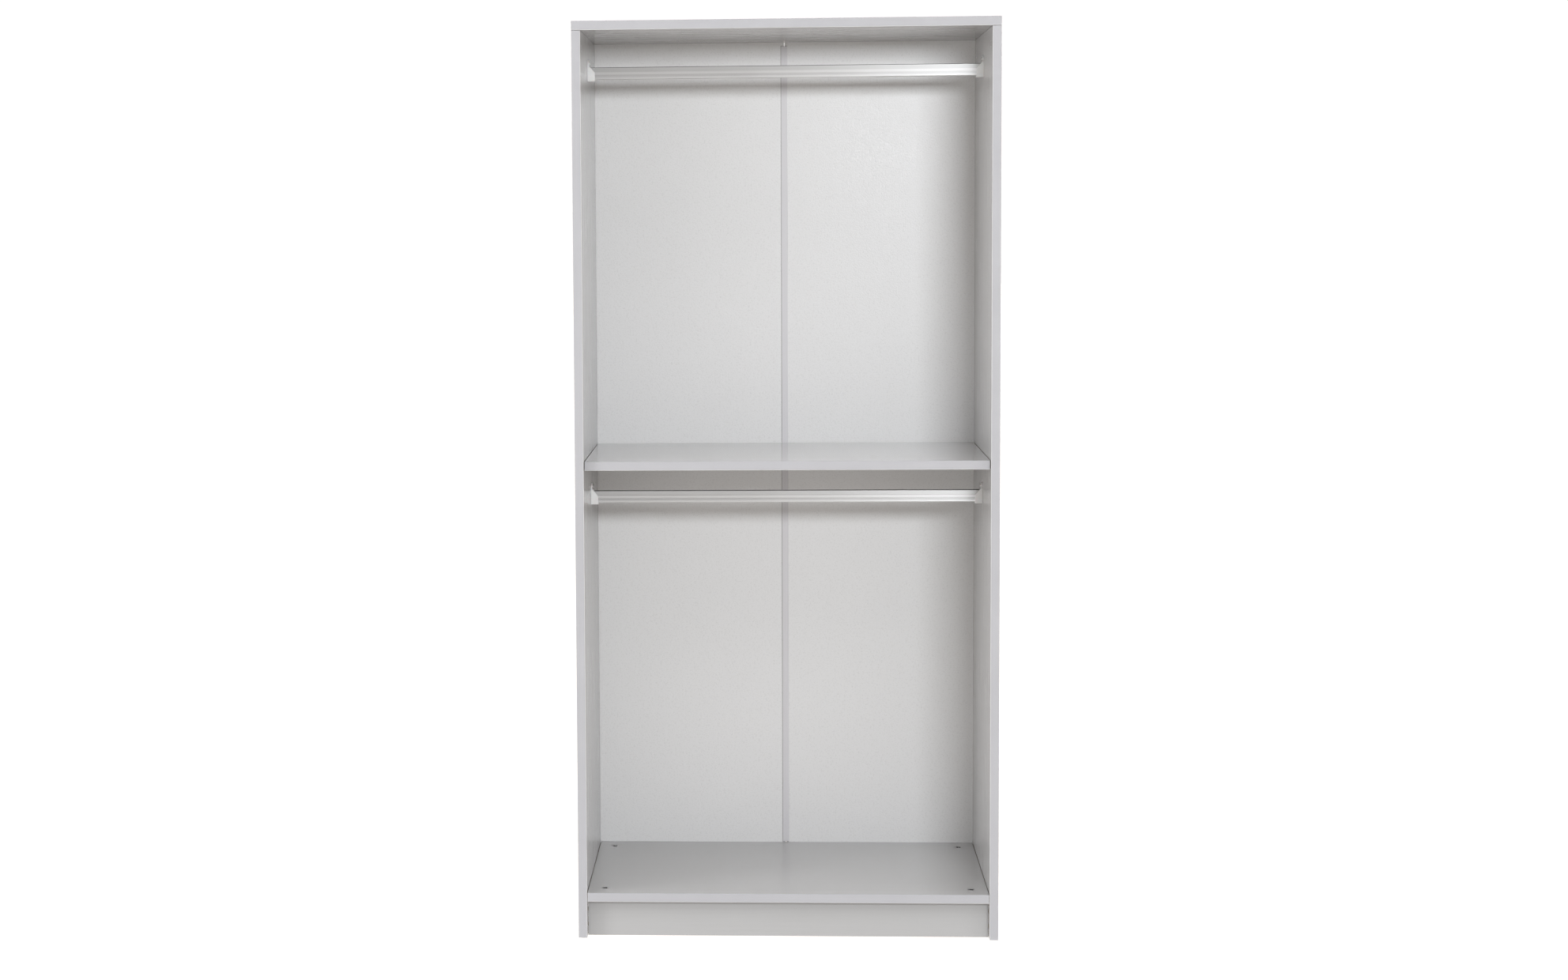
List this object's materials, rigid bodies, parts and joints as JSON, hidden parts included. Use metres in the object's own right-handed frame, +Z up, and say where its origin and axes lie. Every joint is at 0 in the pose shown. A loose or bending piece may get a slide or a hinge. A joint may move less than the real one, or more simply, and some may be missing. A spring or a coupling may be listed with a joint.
{
  "type": "open wardrobe carcass with hanging rails",
  "caption": "Tall open-fronted wardrobe carcass with a fixed middle shelf and a lift-out hanging rail above and below it, jointed thin back and recessed plinth.",
  "frame": {"origin": "centre of the footprint, on the floor", "axes": "+Z up, -Y out of the open front, +X to the right as seen from the front"},
  "size_m": [0.85, 0.52, 1.85],
  "materials": {
    "laminate": "pale grey melamine-faced particle board, faint printed wood grain, satin",
    "edge_band": "plain pale grey plastic edge banding, satin",
    "back_sheet": "thin hardboard, pale grey lacquered face, bare brown rear",
    "joining_strip": "pale lavender-grey extruded plastic",
    "nail_steel": "bright flat-head nails",
    "rail_aluminium": "extruded aluminium, satin, with long recesses",
    "bracket_plastic": "moulded off-white plastic",
    "screw_steel": "zinc-plated pan-head screws",
    "cam_zinc": "die-cast zinc",
    "bolt_steel": "yellow-passivated steel",
    "dowel_beech": "plain beech",
    "block_plastic": "moulded white plastic"
  },
  "bodies": {
    "carcass": {"top_panel": "laminate", "left_side_panel": "laminate", "right_side_panel": "laminate", "bottom_panel": "laminate", "middle_shelf": "laminate", "plinth_board": "laminate", "top_front_edge_band": "edge_band", "top_left_edge_band": "edge_band", "top_right_edge_band": "edge_band", "left_side_edge_band": "edge_band", "right_side_edge_band": "edge_band", "bottom_front_edge_band": "edge_band", "shelf_front_edge_band": "edge_band", "back_panel_left": "back_sheet", "back_panel_right": "back_sheet", "back_joining_strip": "joining_strip", "back_panel_nails": "nail_steel", "upper_left_rail_bracket": "bracket_plastic", "upper_right_rail_bracket": "bracket_plastic", "lower_left_rail_bracket": "bracket_plastic", "lower_right_rail_bracket": "bracket_plastic", "rail_bracket_screws": "screw_steel", "plinth_block_screws": "screw_steel", "top_cam_locks": "cam_zinc", "bottom_cam_locks": "cam_zinc", "shelf_cam_locks": "cam_zinc", "top_cam_bolts": "bolt_steel", "bottom_cam_bolts": "bolt_steel", "shelf_cam_bolts": "bolt_steel", "top_dowels": "dowel_beech", "bottom_dowels": "dowel_beech", "shelf_dowels": "dowel_beech", "plinth_dowels": "dowel_beech", "plinth_corner_blocks": "block_plastic"},
    "upper_rail": {"upper_hanging_rail": "rail_aluminium"},
    "lower_rail": {"lower_hanging_rail": "rail_aluminium"}
  },
  "joints": [
    {"name": "upper_rail_lift", "type": "slide", "parent": "carcass", "child": "upper_rail", "axis": [0, 0, 1], "range_m": [0, 0.035]},
    {"name": "lower_rail_lift", "type": "slide", "parent": "carcass", "child": "lower_rail", "axis": [0, 0, 1], "range_m": [0, 0.035]}
  ]
}
